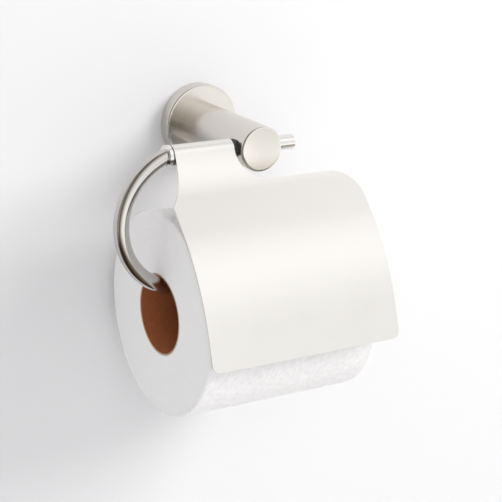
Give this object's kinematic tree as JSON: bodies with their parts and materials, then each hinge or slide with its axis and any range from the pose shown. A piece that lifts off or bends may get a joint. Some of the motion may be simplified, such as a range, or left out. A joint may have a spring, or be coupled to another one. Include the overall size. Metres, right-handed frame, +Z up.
{
  "type": "toilet paper holder",
  "caption": "Wall-mounted toilet paper holder: round flange and post, a crossbar, a C-shaped open arm that holds a paper roll, and a sheet-metal hood that lifts.",
  "frame": {"origin": "centre of the back face of the wall flange and bracket, on the wall plane", "axes": "+Y into the wall, -Y out into the room along the post, +X to the right along the wall and along the crossbar, +Z up"},
  "size_m": [0.1338, 0.1522, 0.1599],
  "materials": {
    "satin_nickel": "satin brushed nickel plate",
    "polished_nickel": "polished plate",
    "raw_zinc": "die-cast, unplated",
    "screw_steel": "zinc-plated steel",
    "black_nylon": "moulded nylon",
    "cardboard": "brown board, spiral wound",
    "tissue_paper": "soft white embossed tissue"
  },
  "bodies": {
    "holder": {"wall_bracket": "raw_zinc", "wall_screws": "screw_steel", "flange": "satin_nickel", "flange_set_screw": "screw_steel", "post": "satin_nickel", "post_screw": "screw_steel", "crossbar": "polished_nickel", "crossbar_set_screw": "screw_steel", "arm": "satin_nickel", "arm_collar": "polished_nickel", "bar_end_cap": "satin_nickel", "hood_washer": "black_nylon", "hood_spacer": "black_nylon"},
    "hood": {"hood": "satin_nickel"},
    "roll": {"cardboard_core": "cardboard", "paper_roll": "tissue_paper"}
  },
  "joints": [
    {"name": "hood_hinge", "type": "hinge", "parent": "holder", "child": "hood", "pos_m": [-0.0315, -0.0615, 0], "axis": [-1, 0, 0], "range_deg": [0, 175]},
    {"name": "roll_spin", "type": "hinge", "parent": "holder", "child": "roll", "pos_m": [-0.0029, -0.0615, -0.0838], "axis": [1, 0, 0], "continuous": true}
  ]
}
